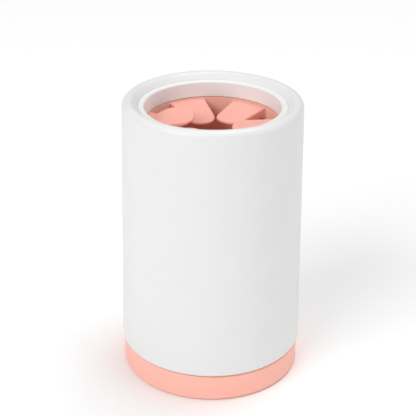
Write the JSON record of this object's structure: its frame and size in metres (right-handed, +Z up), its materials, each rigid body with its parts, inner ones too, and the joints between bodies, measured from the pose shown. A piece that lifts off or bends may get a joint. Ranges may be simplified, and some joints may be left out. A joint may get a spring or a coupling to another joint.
{
  "type": "paw washer cup",
  "caption": "Double-walled hand-held paw washing cup with tiers of soft silicone petals under a lift-out collar and a twist-off coloured base.",
  "frame": {"origin": "centre of the underside, on the surface that the cup stands on", "axes": "+Z up along the cup's axis of symmetry; +X to the viewer's right, +Y away from the viewer"},
  "size_m": [0.1, 0.1, 0.1554],
  "materials": {
    "white_abs": "fine satin moulded",
    "coral_abs": "satin moulded",
    "coral_silicone": "matte silicone",
    "seal_silicone": "matte translucent silicone",
    "foot_silicone": "matte silicone"
  },
  "bodies": {
    "base": {"base_cap": "coral_abs", "bottom_cover": "coral_abs", "foot_ring": "foot_silicone", "base_seal": "seal_silicone"},
    "cup": {"outer_sleeve": "white_abs", "inner_liner": "coral_abs", "rim_seal": "seal_silicone", "retaining_ring": "white_abs"},
    "insert": {"upper_petal_ring": "coral_silicone", "middle_petal_ring": "coral_silicone", "lower_petal_ring": "coral_silicone"},
    "collar": {"collar_ring": "white_abs", "collar_seal": "seal_silicone"},
    "upper_petal_1": {"upper_petal_1": "coral_silicone"},
    "upper_petal_2": {"upper_petal_2": "coral_silicone"},
    "upper_petal_3": {"upper_petal_3": "coral_silicone"},
    "upper_petal_4": {"upper_petal_4": "coral_silicone"},
    "upper_petal_5": {"upper_petal_5": "coral_silicone"},
    "upper_petal_6": {"upper_petal_6": "coral_silicone"},
    "middle_petal_1": {"middle_petal_1": "coral_silicone"},
    "middle_petal_2": {"middle_petal_2": "coral_silicone"},
    "middle_petal_3": {"middle_petal_3": "coral_silicone"},
    "middle_petal_4": {"middle_petal_4": "coral_silicone"},
    "middle_petal_5": {"middle_petal_5": "coral_silicone"},
    "middle_petal_6": {"middle_petal_6": "coral_silicone"},
    "lower_petal_1": {"lower_petal_1": "coral_silicone"},
    "lower_petal_2": {"lower_petal_2": "coral_silicone"},
    "lower_petal_3": {"lower_petal_3": "coral_silicone"},
    "lower_petal_4": {"lower_petal_4": "coral_silicone"},
    "lower_petal_5": {"lower_petal_5": "coral_silicone"},
    "lower_petal_6": {"lower_petal_6": "coral_silicone"}
  },
  "joints": [
    {"name": "base_twist", "type": "hinge", "parent": "base", "child": "cup", "pos_m": [0, 0, 0.0175], "axis": [0, 0, 1], "range_deg": [0, 35]},
    {"name": "insert_lift", "type": "slide", "parent": "cup", "child": "insert", "axis": [0, 0, 1], "range_m": [0, 0.125]},
    {"name": "collar_lift", "type": "slide", "parent": "insert", "child": "collar", "axis": [0, 0, 1], "range_m": [0, 0.04]},
    {"name": "upper_petal_1_flex", "type": "hinge", "parent": "insert", "child": "upper_petal_1", "pos_m": [0.03079, -0.00324, 0.1394], "axis": [-0.1045, -0.9945, 0], "range_deg": [-16, 58], "stiffness_Nm_per_rad": 0.02},
    {"name": "upper_petal_2_flex", "type": "hinge", "parent": "insert", "child": "upper_petal_2", "pos_m": [0.0182, 0.02505, 0.1394], "axis": [0.809, -0.5878, 0], "range_deg": [-20.5, 53.5], "stiffness_Nm_per_rad": 0.02},
    {"name": "upper_petal_3_flex", "type": "hinge", "parent": "insert", "child": "upper_petal_3", "pos_m": [-0.01259, 0.02828, 0.1394], "axis": [0.9135, 0.4067, 0], "range_deg": [-24, 50], "stiffness_Nm_per_rad": 0.02},
    {"name": "upper_petal_4_flex", "type": "hinge", "parent": "insert", "child": "upper_petal_4", "pos_m": [-0.03079, 0.00324, 0.1394], "axis": [0.1045, 0.9945, 0], "range_deg": [-3, 71], "stiffness_Nm_per_rad": 0.02},
    {"name": "upper_petal_5_flex", "type": "hinge", "parent": "insert", "child": "upper_petal_5", "pos_m": [-0.0182, -0.02505, 0.1394], "axis": [-0.809, 0.5878, 0], "range_deg": [-13, 61], "stiffness_Nm_per_rad": 0.02},
    {"name": "upper_petal_6_flex", "type": "hinge", "parent": "insert", "child": "upper_petal_6", "pos_m": [0.01259, -0.02828, 0.1394], "axis": [-0.9135, -0.4067, 0], "range_deg": [-24, 50], "stiffness_Nm_per_rad": 0.02},
    {"name": "middle_petal_1_flex", "type": "hinge", "parent": "insert", "child": "middle_petal_1", "pos_m": [0.02828, 0.01259, 0.1094], "axis": [0.4067, -0.9135, 0], "range_deg": [-24, 50], "stiffness_Nm_per_rad": 0.02},
    {"name": "middle_petal_2_flex", "type": "hinge", "parent": "insert", "child": "middle_petal_2", "pos_m": [0.00324, 0.03079, 0.1094], "axis": [0.9945, -0.1045, 0], "range_deg": [-24, 50], "stiffness_Nm_per_rad": 0.02},
    {"name": "middle_petal_3_flex", "type": "hinge", "parent": "insert", "child": "middle_petal_3", "pos_m": [-0.02505, 0.0182, 0.1094], "axis": [0.5878, 0.809, 0], "range_deg": [-24, 50], "stiffness_Nm_per_rad": 0.02},
    {"name": "middle_petal_4_flex", "type": "hinge", "parent": "insert", "child": "middle_petal_4", "pos_m": [-0.02828, -0.01259, 0.1094], "axis": [-0.4067, 0.9135, 0], "range_deg": [-24, 50], "stiffness_Nm_per_rad": 0.02},
    {"name": "middle_petal_5_flex", "type": "hinge", "parent": "insert", "child": "middle_petal_5", "pos_m": [-0.00324, -0.03079, 0.1094], "axis": [-0.9945, 0.1045, 0], "range_deg": [-24, 50], "stiffness_Nm_per_rad": 0.02},
    {"name": "middle_petal_6_flex", "type": "hinge", "parent": "insert", "child": "middle_petal_6", "pos_m": [0.02505, -0.0182, 0.1094], "axis": [-0.5878, -0.809, 0], "range_deg": [-24, 50], "stiffness_Nm_per_rad": 0.02},
    {"name": "lower_petal_1_flex", "type": "hinge", "parent": "insert", "child": "lower_petal_1", "pos_m": [0.03079, -0.00324, 0.0794], "axis": [-0.1045, -0.9945, 0], "range_deg": [-24, 50], "stiffness_Nm_per_rad": 0.02},
    {"name": "lower_petal_2_flex", "type": "hinge", "parent": "insert", "child": "lower_petal_2", "pos_m": [0.0182, 0.02505, 0.0794], "axis": [0.809, -0.5878, 0], "range_deg": [-24, 50], "stiffness_Nm_per_rad": 0.02},
    {"name": "lower_petal_3_flex", "type": "hinge", "parent": "insert", "child": "lower_petal_3", "pos_m": [-0.01259, 0.02828, 0.0794], "axis": [0.9135, 0.4067, 0], "range_deg": [-24, 50], "stiffness_Nm_per_rad": 0.02},
    {"name": "lower_petal_4_flex", "type": "hinge", "parent": "insert", "child": "lower_petal_4", "pos_m": [-0.03079, 0.00324, 0.0794], "axis": [0.1045, 0.9945, 0], "range_deg": [-24, 50], "stiffness_Nm_per_rad": 0.02},
    {"name": "lower_petal_5_flex", "type": "hinge", "parent": "insert", "child": "lower_petal_5", "pos_m": [-0.0182, -0.02505, 0.0794], "axis": [-0.809, 0.5878, 0], "range_deg": [-24, 50], "stiffness_Nm_per_rad": 0.02},
    {"name": "lower_petal_6_flex", "type": "hinge", "parent": "insert", "child": "lower_petal_6", "pos_m": [0.01259, -0.02828, 0.0794], "axis": [-0.9135, -0.4067, 0], "range_deg": [-24, 50], "stiffness_Nm_per_rad": 0.02}
  ]
}
